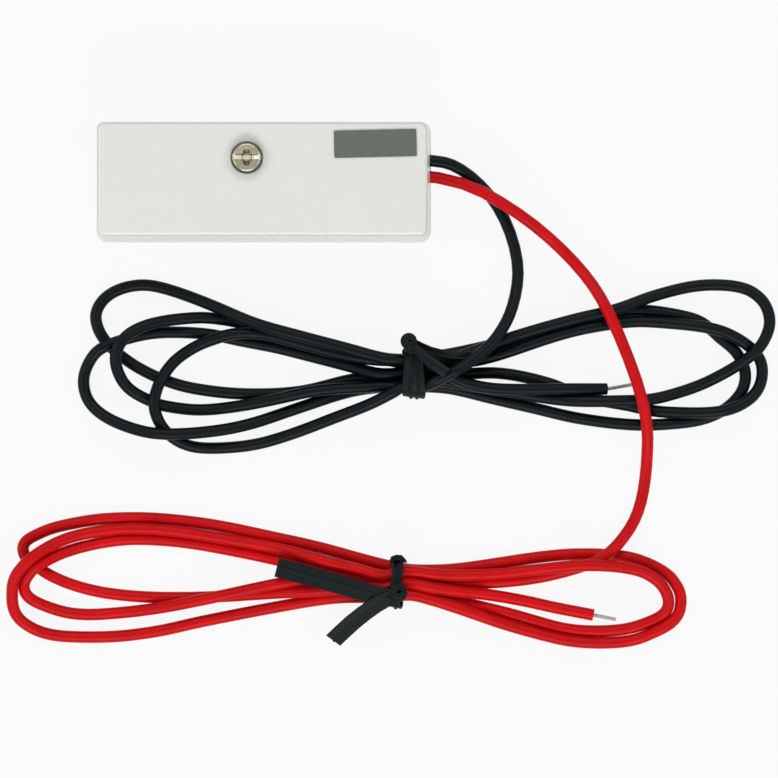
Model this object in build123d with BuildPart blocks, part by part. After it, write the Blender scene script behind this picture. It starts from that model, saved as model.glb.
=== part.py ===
"""Surface-mounted vibration sensor: a small moulded housing over a piezo disc and its
circuit board, with two single-core leads that are each wound into a tied hank."""

import math
import os

from build123d import *

# Housing: a flat base and a drafted cover. X runs along the housing, the back lies on Z = 0.
HOUSING_LENGTH = 62.0
HOUSING_WIDTH = 22.4
HOUSING_HEIGHT = 15.0
DRAFT_ANGLE = 3.0
CORNER_RADIUS = 2.0
TOP_EDGE_RADIUS = 0.9
WALL = 1.6
TOP_WALL = 2.0
CAVITY_RADIUS = 1.2
PLATE = 2.4
LIP_HEIGHT = 2.0
LIP_THICKNESS = 1.2
LIP_GAP = 0.1

# Two countersunk holes for the screws that fix the base to a wall or a frame.
FIXING_INSET = 6.0
FIXING_HOLE = 3.2
FIXING_HEAD = 5.8
FIXING_EDGE = 0.4

# Cover screw, the column and boss that it draws together, and the insert that it bites in.
SCREW_X = -2.8
SCREW_Y = 3.9
SCREW_SHANK = 3.0
SCREW_LENGTH = 10.0
SCREW_TIP_CHAMFER = 0.4
SCREW_HEAD = 6.0
SCREW_HEAD_HEIGHT = 2.0
SCREW_HEAD_EDGE = 0.9
SLOT_WIDTH = 0.9
SLOT_DEPTH = 0.8
CROSS_SPAN = 3.4
CROSS_DEPTH = 1.2
SCREW_GAP = 0.2
COLUMN_LENGTH = 5.0
BOSS_DIAMETER = 6.6
INSERT_DIAMETER = 4.4
INSERT_LENGTH = 5.0
INSERT_GAP = 0.03
SCREW_RELIEF = 0.8

# Plain grey badge stuck on the cover, a little askew.
LABEL_LENGTH = 15.1
LABEL_WIDTH = 5.0
LABEL_THICKNESS = 0.2
LABEL_CORNER = 0.3
LABEL_END = 10.3
LABEL_SIDE = 4.7
LABEL_TURN = 1.3

# Piezo disc: a brass plate let into the base, with its ceramic on top.
PIEZO_INSET = 14.0
PIEZO_Y = -0.8
PIEZO_DIAMETER = 14.0
PIEZO_THICKNESS = 0.3
PIEZO_GAP = 0.1
CERAMIC_DIAMETER = 10.0
CERAMIC_THICKNESS = 0.3

# Circuit board, flush in the base and held by two heat-formed stakes.
BOARD_THICKNESS = 1.0
BOARD_MARGIN = 2.1
BOARD_EDGE = 0.7
BOARD_GAP = 0.1
STAKE_DIAMETER = 1.6
STAKE_HEAD = 2.6
STAKE_HEAD_HEIGHT = 0.8
STAKE_INSET = 1.7
STAKE_GAP = 0.05

# Parts on the board, set apart by one gap and kept off its long edges by another.
PART_GAP = 0.4
PART_EDGE = 0.3
CHIP_LEG_WIDTH = 0.4
CHIP_LEG_THICKNESS = 0.2
CHIP_LEG_REACH = 0.7
CHIP_LEG_PITCH = 1.0
CHIP_STANDOFF = 0.15
CHIP_BEVEL = 0.3
AMPLIFIER_LENGTH = 4.4
AMPLIFIER_WIDTH = 3.6
AMPLIFIER_HEIGHT = 1.5
AMPLIFIER_LEGS = 4
RELAY_LENGTH = 3.8
RELAY_WIDTH = 3.8
RELAY_HEIGHT = 2.1
RELAY_LEGS = 2
CAPACITOR_DIAMETER = 4.0
CAPACITOR_HEIGHT = 5.4
CAPACITOR_BASE = 0.7
CAPACITOR_WAIST = 0.3
CAPACITOR_CHAMFER = 0.2
RESISTOR_LENGTH = 2.0
RESISTOR_WIDTH = 1.25
RESISTOR_HEIGHT = 0.5
RESISTOR_CAP = 0.4
RESISTOR_CAP_PROUD = 0.05
RESISTORS = 3
TERMINAL_WIDTH = 2.0
TERMINAL_HEIGHT = 2.6
TERMINAL_METAL = 0.5
TERMINAL_FOOT = 1.8
TERMINAL_INSET = 1.1
PIEZO_WIRE = 0.8
PIEZO_WIRE_LIFT = 0.05
PIEZO_WIRE_JOINT = 1.2
PIEZO_WIRE_SPREAD = 2.0

# Leads: insulated single-core wire that leaves through one slot in the end wall.
LEAD_DIAMETER = 2.2
LEAD_GAP = 0.1
BLACK_LEAD_Y = 4.12
RED_LEAD_Y = 1.34
LEAD_STRAIGHT = 2.2
CONDUCTOR_DIAMETER = 0.7
BEND_SHARE = 0.45

# Hanks: flat bow ties of wire, thickest at the tie, where they stand on the tie's thickness.
LOBE_HEIGHT = 4.6
WAIST_WIDTH = 8.0
WAIST_RADIUS = 2.0
BLACK_WAIST_HEIGHT = 6.0
RED_WAIST_HEIGHT = 4.6
WAIST_PINCH = 0.3
SHOULDER_RUN = 16.0
TIE_WIDTH = 3.6
TIE_THICKNESS = 0.8
TIE_GAP = 0.1
TWIST_DIAMETER = 2.8

LEAN = math.tan(math.radians(DRAFT_ANGLE))
CAVITY_TOP = HOUSING_HEIGHT - TOP_WALL
BOSS_TOP = CAVITY_TOP - COLUMN_LENGTH
LIP_LENGTH = HOUSING_LENGTH - 2 * (PLATE * LEAN + WALL + LIP_GAP)
LIP_WIDTH = HOUSING_WIDTH - 2 * (PLATE * LEAN + WALL + LIP_GAP)
FIXING_X = HOUSING_LENGTH / 2 - FIXING_INSET
FIXING_Y = LIP_WIDTH / 2 - LIP_THICKNESS - FIXING_EDGE - FIXING_HEAD / 2
LABEL_X = HOUSING_LENGTH / 2 - LABEL_END
LABEL_Y = HOUSING_WIDTH / 2 - LABEL_SIDE
PIEZO_X = PIEZO_INSET - HOUSING_LENGTH / 2
BOARD_LEFT = SCREW_X + BOSS_DIAMETER / 2 + BOARD_MARGIN
BOARD_RIGHT = FIXING_X - FIXING_HEAD / 2 - FIXING_EDGE
BOARD_LENGTH = BOARD_RIGHT - BOARD_LEFT
BOARD_WIDTH = LIP_WIDTH - 2 * (LIP_THICKNESS + BOARD_EDGE)
BOARD_X = (BOARD_LEFT + BOARD_RIGHT) / 2
STAKE_X = BOARD_LENGTH / 2 - STAKE_INSET
STAKE_Y = BOARD_WIDTH / 2 - STAKE_INSET
TERMINAL_FACE = BOARD_RIGHT - TERMINAL_INSET
PART_Y = BOARD_WIDTH / 2 - PART_EDGE
STAKE_ROOM = STAKE_INSET + STAKE_HEAD / 2 + PART_GAP
AMPLIFIER_X = BOARD_LEFT + STAKE_ROOM + AMPLIFIER_LENGTH / 2
AMPLIFIER_Y = PART_Y - CHIP_LEG_REACH - AMPLIFIER_WIDTH / 2
RELAY_X = BOARD_RIGHT - STAKE_ROOM - RELAY_LENGTH / 2
RELAY_Y = CHIP_LEG_REACH + RELAY_WIDTH / 2 - PART_Y
CAPACITOR_X = BOARD_LEFT + 2 * PIEZO_WIRE_JOINT + CAPACITOR_DIAMETER / 2
CAPACITOR_Y = CAPACITOR_DIAMETER / 2 - PART_Y
RESISTOR_X = TERMINAL_FACE - TERMINAL_FOOT - PART_GAP - RESISTOR_LENGTH / 2
RESISTOR_Y = PART_Y - RESISTOR_CAP_PROUD - RESISTOR_WIDTH / 2
RESISTOR_PITCH = RESISTOR_WIDTH + PART_GAP
LEAD_Z = PLATE + LEAD_GAP + LEAD_DIAMETER / 2
BLACK_TIE_TOP = BLACK_WAIST_HEIGHT + 2 * TIE_THICKNESS
RED_TIE_TOP = RED_WAIST_HEIGHT + 2 * TIE_THICKNESS

# Routes of the leads, from the board's terminals to the hanks.
BLACK_ROUTE = [
    (TERMINAL_FACE, BLACK_LEAD_Y, LEAD_Z),
    (HOUSING_LENGTH / 2 - LEAD_STRAIGHT, BLACK_LEAD_Y, LEAD_Z),
    (36.8, 3.6, 3.3),
    (44.2, -4.2, 1.2),
    (47.8, -15.5, 1.2),
    (46.6, -23.5, 1.4),
    (43.6, -30.0, 2.4),
]
RED_ROUTE = [
    (TERMINAL_FACE, RED_LEAD_Y, LEAD_Z),
    (35.0, RED_LEAD_Y, LEAD_Z),
    (48.0, -5.8, 5.4),
    (58.0, -15.0, 2.8),
    (63.4, -23.4, 9.2),
    (70.8, -43.6, 9.2),
    (72.2, -54.0, 1.6),
    (69.6, -62.8, 1.2),
    (64.6, -69.6, 2.4),
]
PIEZO_WIRE_Z = PLATE + PIEZO_WIRE / 2 + PIEZO_WIRE_LIFT
PIEZO_WIRE_MIDDLE = (PIEZO_X + PIEZO_DIAMETER / 2 + BOARD_LEFT) / 2
CERAMIC_WIRE_ROUTE = [
    (PIEZO_X + CERAMIC_DIAMETER / 4, PIEZO_Y, PIEZO_WIRE_Z + CERAMIC_THICKNESS),
    (PIEZO_X + PIEZO_DIAMETER / 2, PIEZO_Y, PIEZO_WIRE_Z + CERAMIC_THICKNESS),
    (PIEZO_WIRE_MIDDLE, PIEZO_Y - PIEZO_WIRE, PIEZO_WIRE_Z),
    (BOARD_LEFT + PIEZO_WIRE_JOINT, PIEZO_Y - PIEZO_WIRE, PIEZO_WIRE_Z),
]
PLATE_WIRE_ROUTE = [
    (PIEZO_X + CERAMIC_DIAMETER / 2, PIEZO_Y - CERAMIC_DIAMETER / 4, PIEZO_WIRE_Z),
    (PIEZO_WIRE_MIDDLE, PIEZO_Y - PIEZO_WIRE - 2 * PIEZO_WIRE_SPREAD, PIEZO_WIRE_Z),
    (BOARD_LEFT + PIEZO_WIRE_JOINT, PIEZO_Y - PIEZO_WIRE - PIEZO_WIRE_SPREAD, PIEZO_WIRE_Z),
]

# Hanks: the tie's middle, then X, Y and radius of the round ends that the loops lie between,
# and of the round ends of the openings inside the loops.
BLACK_TIE = (27.8, -35.2)
BLACK_LOBES = [
    [(-23.9, -25.9, 7.6), (-25.8, -37.6, 8.7), (-11.0, -40.4, 10.0)],
    [(86.5, -25.6, 8.2), (85.0, -35.4, 8.5), (73.5, -38.6, 7.6)],
]
BLACK_OPENINGS = [
    [(-13.4, -35.0, 2.2), (-5.9, -34.1, 3.9), (4.8, -35.2, 2.4), (16.0, -35.2, 0.6)],
    [(-23.6, -23.4, 2.8), (-11.9, -23.5, 0.6)],
    [(83.2, -33.0, 2.8), (71.7, -33.2, 5.8), (60.5, -34.1, 5.6), (45.7, -35.8, 2.0)],
    [(87.4, -24.3, 3.7), (79.1, -22.3, 1.7), (72.6, -22.4, 0.6)],
]
BLACK_TAIL = [(38.0, -37.4, 2.6), (50.0, -38.4, 1.4), (63.5, -38.3, 1.2)]
BLACK_BARE_TIP = (68.1, -37.6, 1.2)
RED_TIE = (24.4, -73.9)
RED_LOBES = [
    [
        (-39.4, -68.6, 6.5),
        (-24.3, -70.1, 9.1),
        (-39.4, -76.8, 8.4),
        (-31.4, -77.2, 8.4),
        (-4.1, -72.0, 8.4),
    ],
    [(69.4, -77.4, 9.3), (59.6, -77.2, 9.3)],
]
RED_OPENINGS = [
    [(-35.6, -71.6, 1.3), (-30.1, -71.5, 3.4), (-19.1, -71.7, 4.1), (3.0, -72.4, 1.1)],
    [(-42.3, -79.8, 0.8), (-37.9, -81.6, 1.1), (-26.4, -82.1, 1.0), (-13.7, -79.9, 0.9)],
    [(69.8, -77.6, 3.9), (61.3, -77.2, 4.9), (51.2, -75.3, 2.0), (43.8, -74.9, 0.7)],
]
RED_TAIL = [(34.0, -75.6, 2.6), (48.0, -77.6, 1.4), (61.2, -80.4, 1.2)]
RED_BARE_TIP = (65.2, -81.1, 1.2)

# Free ends of the ties, each from the wrap to the cut end.
BLACK_TIE_ENDS = [
    [(27.8, -32.4, BLACK_TIE_TOP), (36.0, -37.6, 6.7)],
    [(28.0, -31.6, BLACK_TIE_TOP), (39.4, -32.7, 6.3)],
]
RED_TIE_ENDS = [
    [(24.0, -76.0, RED_TIE_TOP), (4.0, -71.8, 5.0)],
    [(23.4, -76.6, RED_TIE_TOP), (13.8, -84.0, 4.6)],
]


def length_at(height):
    """Outside length of the housing at a height."""
    return HOUSING_LENGTH - 2 * height * LEAN


def width_at(height):
    """Outside width of the housing at a height."""
    return HOUSING_WIDTH - 2 * height * LEAN


def bend_radii(name, route):
    """The largest bends that the runs of a route allow, one for each of its inner points."""
    radii = []
    for before, here, after in zip(route, route[1:], route[2:]):
        run_in = Vector(here) - Vector(before)
        run_out = Vector(after) - Vector(here)
        half_turn = math.radians(run_in.get_angle(run_out) / 2)
        shorter = min(run_in.length, run_out.length)
        radii.append(BEND_SHARE * shorter / math.tan(half_turn))
    print(name, "bend radii", [round(radius, 1) for radius in radii])
    return radii


def tube(name, route, diameter):
    """A round tube along straight runs and tangent arcs."""
    with BuildPart() as wire:
        with BuildLine():
            path = FilletPolyline(*route, radius=bend_radii(name, route))
        with BuildSketch(Plane(origin=path @ 0, z_dir=path % 0)):
            Circle(diameter / 2)
        sweep(path=path)
    share = wire.part.volume / (path.length * math.pi * diameter**2 / 4)
    print(name, "length", round(path.length, 1), "volume share", round(share, 4))
    return wire


def rounded_outline(ends):
    """The outline stretched round a set of circles, each given as X, Y and radius."""
    with BuildSketch() as outline:
        for x, y, radius in ends:
            with Locations((x, y)):
                Circle(radius)
        make_hull()
    return outline


def hank(tie, waist_height, lobes, openings, tail, lead, tail_name):
    """The outer shape of a wire wound in a figure of eight and tied at its waist."""
    tie_x, tie_y = tie
    neck = TIE_WIDTH / 2 + TIE_GAP
    corner = WAIST_WIDTH / 2 + WAIST_PINCH - WAIST_RADIUS
    shoulder = TIE_THICKNESS + waist_height + WAIST_PINCH
    tail_tube = tube(tail_name, tail, LEAD_DIAMETER)
    low = min(x - radius for x, y, radius in lobes[0])
    high = max(x + radius for x, y, radius in lobes[1])
    spread = max(abs(y - tie_y) + radius for x, y, radius in lobes[0] + lobes[1])
    with BuildPart() as wound:
        for side, lobe in zip((-1, 1), lobes):
            end_x = tie_x + side * (neck + WAIST_RADIUS)
            ends = [(end_x, tie_y + turn * corner, WAIST_RADIUS) for turn in (-1, 1)]
            add(rounded_outline(lobe + ends).sketch)
            extrude(amount=shoulder)
        for opening in openings:
            add(rounded_outline(opening).sketch)
            extrude(amount=shoulder, mode=Mode.SUBTRACT)
        # Seen from the front, the loops lie low and rise to the tie.
        with BuildSketch(Plane.XZ.offset(-tie_y)) as side_view:
            with BuildLine():
                Polyline(
                    (low, 0),
                    (high, 0),
                    (high, LOBE_HEIGHT),
                    (tie_x + neck + SHOULDER_RUN, LOBE_HEIGHT),
                    (tie_x + neck, shoulder),
                    (tie_x - neck, shoulder),
                    (tie_x - neck - SHOULDER_RUN, LOBE_HEIGHT),
                    (low, LOBE_HEIGHT),
                    close=True,
                )
            make_face()
        extrude(amount=spread + TIE_WIDTH, both=True, mode=Mode.INTERSECT)
        with BuildSketch(Plane.YZ.offset(tie_x)):
            with Locations((tie_y, TIE_THICKNESS + waist_height / 2)):
                RectangleRounded(WAIST_WIDTH, waist_height, WAIST_RADIUS)
        extrude(amount=neck + WAIST_RADIUS, both=True)
        add(tail_tube.part)
        add(lead.part, mode=Mode.SUBTRACT)
    return wound


def strip(start, end):
    """One flat free end of a tie, lying along the line between two points."""
    along = Vector(end) - Vector(start)
    across = Vector(0, 0, 1).cross(along).normalized()
    with BuildPart() as flat:
        with BuildSketch(Plane(origin=start, x_dir=along, z_dir=along.cross(across))):
            with Locations((along.length / 2, 0)):
                SlotOverall(along.length + TIE_WIDTH, TIE_WIDTH)
        extrude(amount=TIE_THICKNESS)
    return flat


def twist_tie(tie, waist_height, twist_side, ends):
    """A plastic strip round the waist of a hank, twisted shut, with two free ends."""
    tie_x, tie_y = tie
    middle = TIE_THICKNESS + waist_height / 2
    twist_y = tie_y + twist_side * (WAIST_WIDTH / 2 + TWIST_DIAMETER / 2)
    with BuildPart() as wrapped:
        with BuildSketch(Plane.YZ.offset(tie_x)):
            with Locations((tie_y, middle)):
                RectangleRounded(
                    WAIST_WIDTH + 2 * TIE_THICKNESS,
                    waist_height + 2 * TIE_THICKNESS,
                    WAIST_RADIUS + TIE_THICKNESS,
                )
                RectangleRounded(WAIST_WIDTH, waist_height, WAIST_RADIUS, mode=Mode.SUBTRACT)
        extrude(amount=TIE_WIDTH / 2, both=True)
        with BuildSketch(Plane.XY.offset(middle)):
            with Locations((tie_x, twist_y)):
                Circle(TWIST_DIAMETER / 2)
        extrude(amount=middle)
        for start, end in ends:
            add(strip(start, end).part)
    return wrapped


def chip(x, y, length, width, height, legs):
    """A moulded chip with bevelled sides and a row of bent legs along each long side."""
    body_bottom = PLATE + CHIP_STANDOFF
    leg_top = body_bottom + height / 2
    reach = width / 2 + CHIP_LEG_REACH
    with BuildPart() as moulded:
        with BuildSketch(Plane.XY.offset(body_bottom)):
            with Locations((x, y)):
                Rectangle(length, width)
        extrude(amount=height)
        chamfer(moulded.faces().sort_by(Axis.Z)[-1].edges(), CHIP_BEVEL)
        for side in (-1, 1):
            with BuildSketch(Plane.YZ.offset(x)) as leg_profile:
                with BuildLine():
                    Polyline(
                        (y + side * (width / 2 - CHIP_BEVEL), leg_top),
                        (y + side * (width / 2 + CHIP_LEG_REACH / 2), leg_top),
                        (y + side * (width / 2 + CHIP_LEG_REACH / 2), PLATE + CHIP_LEG_THICKNESS),
                        (y + side * reach, PLATE + CHIP_LEG_THICKNESS),
                        (y + side * reach, PLATE),
                        (y + side * (width / 2 + CHIP_LEG_REACH / 2 - CHIP_LEG_THICKNESS), PLATE),
                        (
                            y + side * (width / 2 + CHIP_LEG_REACH / 2 - CHIP_LEG_THICKNESS),
                            leg_top - CHIP_LEG_THICKNESS,
                        ),
                        (y + side * (width / 2 - CHIP_BEVEL), leg_top - CHIP_LEG_THICKNESS),
                        close=True,
                    )
                make_face()
            first = -CHIP_LEG_PITCH * (legs - 1) / 2
            for number in range(legs):
                with Locations((first + number * CHIP_LEG_PITCH, 0, 0)):
                    add(
                        extrude(
                            leg_profile.sketch,
                            amount=CHIP_LEG_WIDTH / 2,
                            both=True,
                            mode=Mode.PRIVATE,
                        )
                    )
    return moulded


def terminal(y):
    """A tinned angle soldered to the board, whose upright takes the end of a lead."""
    with BuildPart() as angle:
        with BuildSketch(Plane.XZ.offset(-y)):
            with BuildLine():
                Polyline(
                    (TERMINAL_FACE, PLATE),
                    (TERMINAL_FACE, PLATE + TERMINAL_HEIGHT),
                    (TERMINAL_FACE - TERMINAL_METAL, PLATE + TERMINAL_HEIGHT),
                    (TERMINAL_FACE - TERMINAL_METAL, PLATE + TERMINAL_METAL),
                    (TERMINAL_FACE - TERMINAL_FOOT, PLATE + TERMINAL_METAL),
                    (TERMINAL_FACE - TERMINAL_FOOT, PLATE),
                    close=True,
                )
            make_face()
        extrude(amount=TERMINAL_WIDTH / 2, both=True)
    return angle


def bare_end(tail, tip):
    """The bare conductor where a lead is stripped, straight on from its cut insulation."""
    along = Vector(tip) - Vector(tail[-1])
    with BuildPart() as bare:
        with BuildSketch(Plane(origin=tail[-1], z_dir=along)):
            Circle(CONDUCTOR_DIAMETER / 2)
        extrude(amount=along.length)
    return bare


# Base: a plate with a lip that the cover fits round, a boss for the cover screw and seats
# for the board and the disc.
with BuildPart() as base:
    with BuildSketch():
        RectangleRounded(HOUSING_LENGTH, HOUSING_WIDTH, CORNER_RADIUS)
    extrude(amount=PLATE, taper=DRAFT_ANGLE)
    with BuildSketch(Plane.XY.offset(PLATE)):
        RectangleRounded(LIP_LENGTH, LIP_WIDTH, CAVITY_RADIUS)
    extrude(amount=LIP_HEIGHT, taper=DRAFT_ANGLE)
    with BuildSketch(Plane.XY.offset(PLATE)):
        Rectangle(LIP_LENGTH - 2 * LIP_THICKNESS, LIP_WIDTH - 2 * LIP_THICKNESS)
    extrude(amount=LIP_HEIGHT, mode=Mode.SUBTRACT)
    with BuildSketch(Plane.XY.offset(PLATE)):
        with Locations((SCREW_X, SCREW_Y)):
            Circle(BOSS_DIAMETER / 2)
    extrude(amount=BOSS_TOP - PLATE)
    with Locations((SCREW_X, SCREW_Y, BOSS_TOP)):
        CounterBoreHole(
            SCREW_SHANK / 2 + SCREW_GAP,
            INSERT_DIAMETER / 2 + INSERT_GAP,
            INSERT_LENGTH,
            INSERT_LENGTH + SCREW_RELIEF,
        )
    with Locations((-FIXING_X, FIXING_Y, PLATE), (FIXING_X, -FIXING_Y, PLATE)):
        CounterSinkHole(FIXING_HOLE / 2, FIXING_HEAD / 2)
    with BuildSketch(Plane.XY.offset(PLATE)):
        with Locations((BOARD_X, 0)):
            Rectangle(BOARD_LENGTH + 2 * BOARD_GAP, BOARD_WIDTH + 2 * BOARD_GAP)
    extrude(amount=-BOARD_THICKNESS, mode=Mode.SUBTRACT)
    with BuildSketch(Plane.XY.offset(PLATE)):
        with Locations((PIEZO_X, PIEZO_Y)):
            Circle(PIEZO_DIAMETER / 2 + PIEZO_GAP)
    extrude(amount=-PIEZO_THICKNESS, mode=Mode.SUBTRACT)
    with BuildSketch(Plane.XY.offset(PLATE - BOARD_THICKNESS)):
        with Locations((BOARD_X - STAKE_X, STAKE_Y), (BOARD_X + STAKE_X, -STAKE_Y)):
            Circle(STAKE_DIAMETER / 2)
    extrude(amount=BOARD_THICKNESS)
    with BuildSketch(Plane.XY.offset(PLATE)):
        with Locations((BOARD_X - STAKE_X, STAKE_Y), (BOARD_X + STAKE_X, -STAKE_Y)):
            Circle(STAKE_HEAD / 2)
    extrude(amount=STAKE_HEAD_HEIGHT)
    with BuildSketch(Plane.XY.offset(PLATE)):
        with Locations((LIP_LENGTH / 2, (BLACK_LEAD_Y + RED_LEAD_Y) / 2)):
            Rectangle(
                4 * LIP_THICKNESS,
                abs(BLACK_LEAD_Y - RED_LEAD_Y) + LEAD_DIAMETER + 2 * LEAD_GAP,
            )
    extrude(amount=LIP_HEIGHT, mode=Mode.SUBTRACT)

# Cover: a drafted shell with a column down to the boss and one slot for both leads.
with BuildPart() as cover:
    with BuildSketch(Plane.XY.offset(PLATE)):
        RectangleRounded(length_at(PLATE), width_at(PLATE), CORNER_RADIUS - PLATE * LEAN)
    extrude(amount=HOUSING_HEIGHT - PLATE, taper=DRAFT_ANGLE)
    fillet(cover.faces().sort_by(Axis.Z)[-1].edges(), TOP_EDGE_RADIUS)
    with BuildSketch(Plane.XY.offset(PLATE)):
        RectangleRounded(
            length_at(PLATE) - 2 * WALL, width_at(PLATE) - 2 * WALL, CAVITY_RADIUS
        )
    extrude(amount=CAVITY_TOP - PLATE, taper=DRAFT_ANGLE, mode=Mode.SUBTRACT)
    with BuildSketch(Plane.XY.offset(BOSS_TOP)):
        with Locations((SCREW_X, SCREW_Y)):
            Circle(BOSS_DIAMETER / 2)
    extrude(amount=COLUMN_LENGTH)
    with Locations((SCREW_X, SCREW_Y, HOUSING_HEIGHT)):
        Hole(SCREW_SHANK / 2 + SCREW_GAP)
    with BuildSketch(Plane.YZ.offset(HOUSING_LENGTH / 2)):
        with Locations((BLACK_LEAD_Y, LEAD_Z), (RED_LEAD_Y, LEAD_Z)):
            Circle(LEAD_DIAMETER / 2 + LEAD_GAP)
        make_hull()
        with Locations(((BLACK_LEAD_Y + RED_LEAD_Y) / 2, (PLATE + LEAD_Z) / 2)):
            Rectangle(
                abs(BLACK_LEAD_Y - RED_LEAD_Y) + LEAD_DIAMETER + 2 * LEAD_GAP,
                LEAD_Z - PLATE,
            )
    extrude(amount=-(HOUSING_LENGTH - length_at(CAVITY_TOP)) / 2 - 2 * WALL, mode=Mode.SUBTRACT)

# Insert: a turned brass bush pressed into the top of the boss.
with BuildPart() as threaded_insert:
    with BuildSketch(Plane.XY.offset(BOSS_TOP - INSERT_LENGTH)):
        with Locations((SCREW_X, SCREW_Y)):
            Circle(INSERT_DIAMETER / 2)
            Circle(SCREW_SHANK / 2 + INSERT_GAP, mode=Mode.SUBTRACT)
    extrude(amount=INSERT_LENGTH)

# Cover screw: a pan head with a straight slot and a cross recess.
with BuildPart() as cover_screw:
    with BuildSketch(Plane.XY.offset(HOUSING_HEIGHT)):
        with Locations((SCREW_X, SCREW_Y)):
            Circle(SCREW_HEAD / 2)
    extrude(amount=SCREW_HEAD_HEIGHT)
    fillet(cover_screw.faces().sort_by(Axis.Z)[-1].edges(), SCREW_HEAD_EDGE)
    with BuildSketch(Plane.XY.offset(HOUSING_HEIGHT)):
        with Locations((SCREW_X, SCREW_Y)):
            Circle(SCREW_SHANK / 2)
    extrude(amount=-SCREW_LENGTH)
    chamfer(cover_screw.faces().sort_by(Axis.Z)[0].edges(), SCREW_TIP_CHAMFER)
    with BuildSketch(Plane.XY.offset(HOUSING_HEIGHT + SCREW_HEAD_HEIGHT)):
        with Locations((SCREW_X, SCREW_Y)):
            Rectangle(SCREW_HEAD, SLOT_WIDTH)
    extrude(amount=-SLOT_DEPTH, mode=Mode.SUBTRACT)
    with BuildSketch(Plane.XY.offset(HOUSING_HEIGHT + SCREW_HEAD_HEIGHT)):
        with Locations((SCREW_X, SCREW_Y)):
            Rectangle(CROSS_SPAN, SLOT_WIDTH)
            Rectangle(SLOT_WIDTH, CROSS_SPAN)
    extrude(amount=-CROSS_DEPTH, mode=Mode.SUBTRACT)

# Badge: a thin grey plate with small corners.
with BuildPart() as label:
    with BuildSketch(Plane.XY.offset(HOUSING_HEIGHT)):
        with Locations(Location((LABEL_X, LABEL_Y), LABEL_TURN)):
            RectangleRounded(LABEL_LENGTH, LABEL_WIDTH, LABEL_CORNER)
    extrude(amount=LABEL_THICKNESS)

# Piezo disc: the brass plate lies in the base and carries the ceramic.
with BuildPart() as piezo_plate:
    with BuildSketch(Plane.XY.offset(PLATE - PIEZO_THICKNESS)):
        with Locations((PIEZO_X, PIEZO_Y)):
            Circle(PIEZO_DIAMETER / 2)
    extrude(amount=PIEZO_THICKNESS)

with BuildPart() as piezo_ceramic:
    with BuildSketch(Plane.XY.offset(PLATE)):
        with Locations((PIEZO_X, PIEZO_Y)):
            Circle(CERAMIC_DIAMETER / 2)
    extrude(amount=CERAMIC_THICKNESS)

# Circuit board: lies in its recess over the two stakes.
with BuildPart() as circuit_board:
    with BuildSketch(Plane.XY.offset(PLATE - BOARD_THICKNESS)):
        with Locations((BOARD_X, 0)):
            Rectangle(BOARD_LENGTH, BOARD_WIDTH)
        with Locations((BOARD_X - STAKE_X, STAKE_Y), (BOARD_X + STAKE_X, -STAKE_Y)):
            Circle(STAKE_DIAMETER / 2 + STAKE_GAP, mode=Mode.SUBTRACT)
    extrude(amount=BOARD_THICKNESS)

amplifier_chip = chip(
    AMPLIFIER_X,
    AMPLIFIER_Y,
    AMPLIFIER_LENGTH,
    AMPLIFIER_WIDTH,
    AMPLIFIER_HEIGHT,
    AMPLIFIER_LEGS,
)
relay_chip = chip(RELAY_X, RELAY_Y, RELAY_LENGTH, RELAY_WIDTH, RELAY_HEIGHT, RELAY_LEGS)

# Storage capacitor: a crimped can on a square-shouldered foot.
with BuildPart() as storage_capacitor:
    with BuildSketch(Plane.XY.offset(PLATE)):
        with Locations((CAPACITOR_X, CAPACITOR_Y)):
            Rectangle(CAPACITOR_DIAMETER, CAPACITOR_DIAMETER)
    extrude(amount=CAPACITOR_BASE)
    with BuildSketch(Plane.XY.offset(PLATE + CAPACITOR_BASE)):
        with Locations((CAPACITOR_X, CAPACITOR_Y)):
            Circle(CAPACITOR_DIAMETER / 2 - CAPACITOR_WAIST)
    extrude(amount=CAPACITOR_WAIST)
    with BuildSketch(Plane.XY.offset(PLATE + CAPACITOR_BASE + CAPACITOR_WAIST)):
        with Locations((CAPACITOR_X, CAPACITOR_Y)):
            Circle(CAPACITOR_DIAMETER / 2)
    extrude(amount=CAPACITOR_HEIGHT - CAPACITOR_BASE - CAPACITOR_WAIST)
    chamfer(storage_capacitor.faces().sort_by(Axis.Z)[-1].edges(), CAPACITOR_CHAMFER)

# Chip resistors in a row, each a flat ceramic body between two metal end caps.
resistors = []
for number in range(RESISTORS):
    resistor_y = RESISTOR_Y - number * RESISTOR_PITCH
    with BuildPart() as resistor:
        with BuildSketch(Plane.XY.offset(PLATE)):
            with Locations((RESISTOR_X, resistor_y)):
                Rectangle(RESISTOR_LENGTH, RESISTOR_WIDTH)
        extrude(amount=RESISTOR_HEIGHT)
        with BuildSketch(Plane.XY.offset(PLATE)):
            with Locations((RESISTOR_X, resistor_y)):
                with GridLocations(RESISTOR_LENGTH - RESISTOR_CAP, 0, 2, 1):
                    Rectangle(RESISTOR_CAP, RESISTOR_WIDTH + 2 * RESISTOR_CAP_PROUD)
        extrude(amount=RESISTOR_HEIGHT + RESISTOR_CAP_PROUD)
    resistors.append(resistor)

black_terminal = terminal(BLACK_LEAD_Y)
red_terminal = terminal(RED_LEAD_Y)
ceramic_wire = tube("ceramic_wire", CERAMIC_WIRE_ROUTE, PIEZO_WIRE)
plate_wire = tube("plate_wire", PLATE_WIRE_ROUTE, PIEZO_WIRE)

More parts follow.
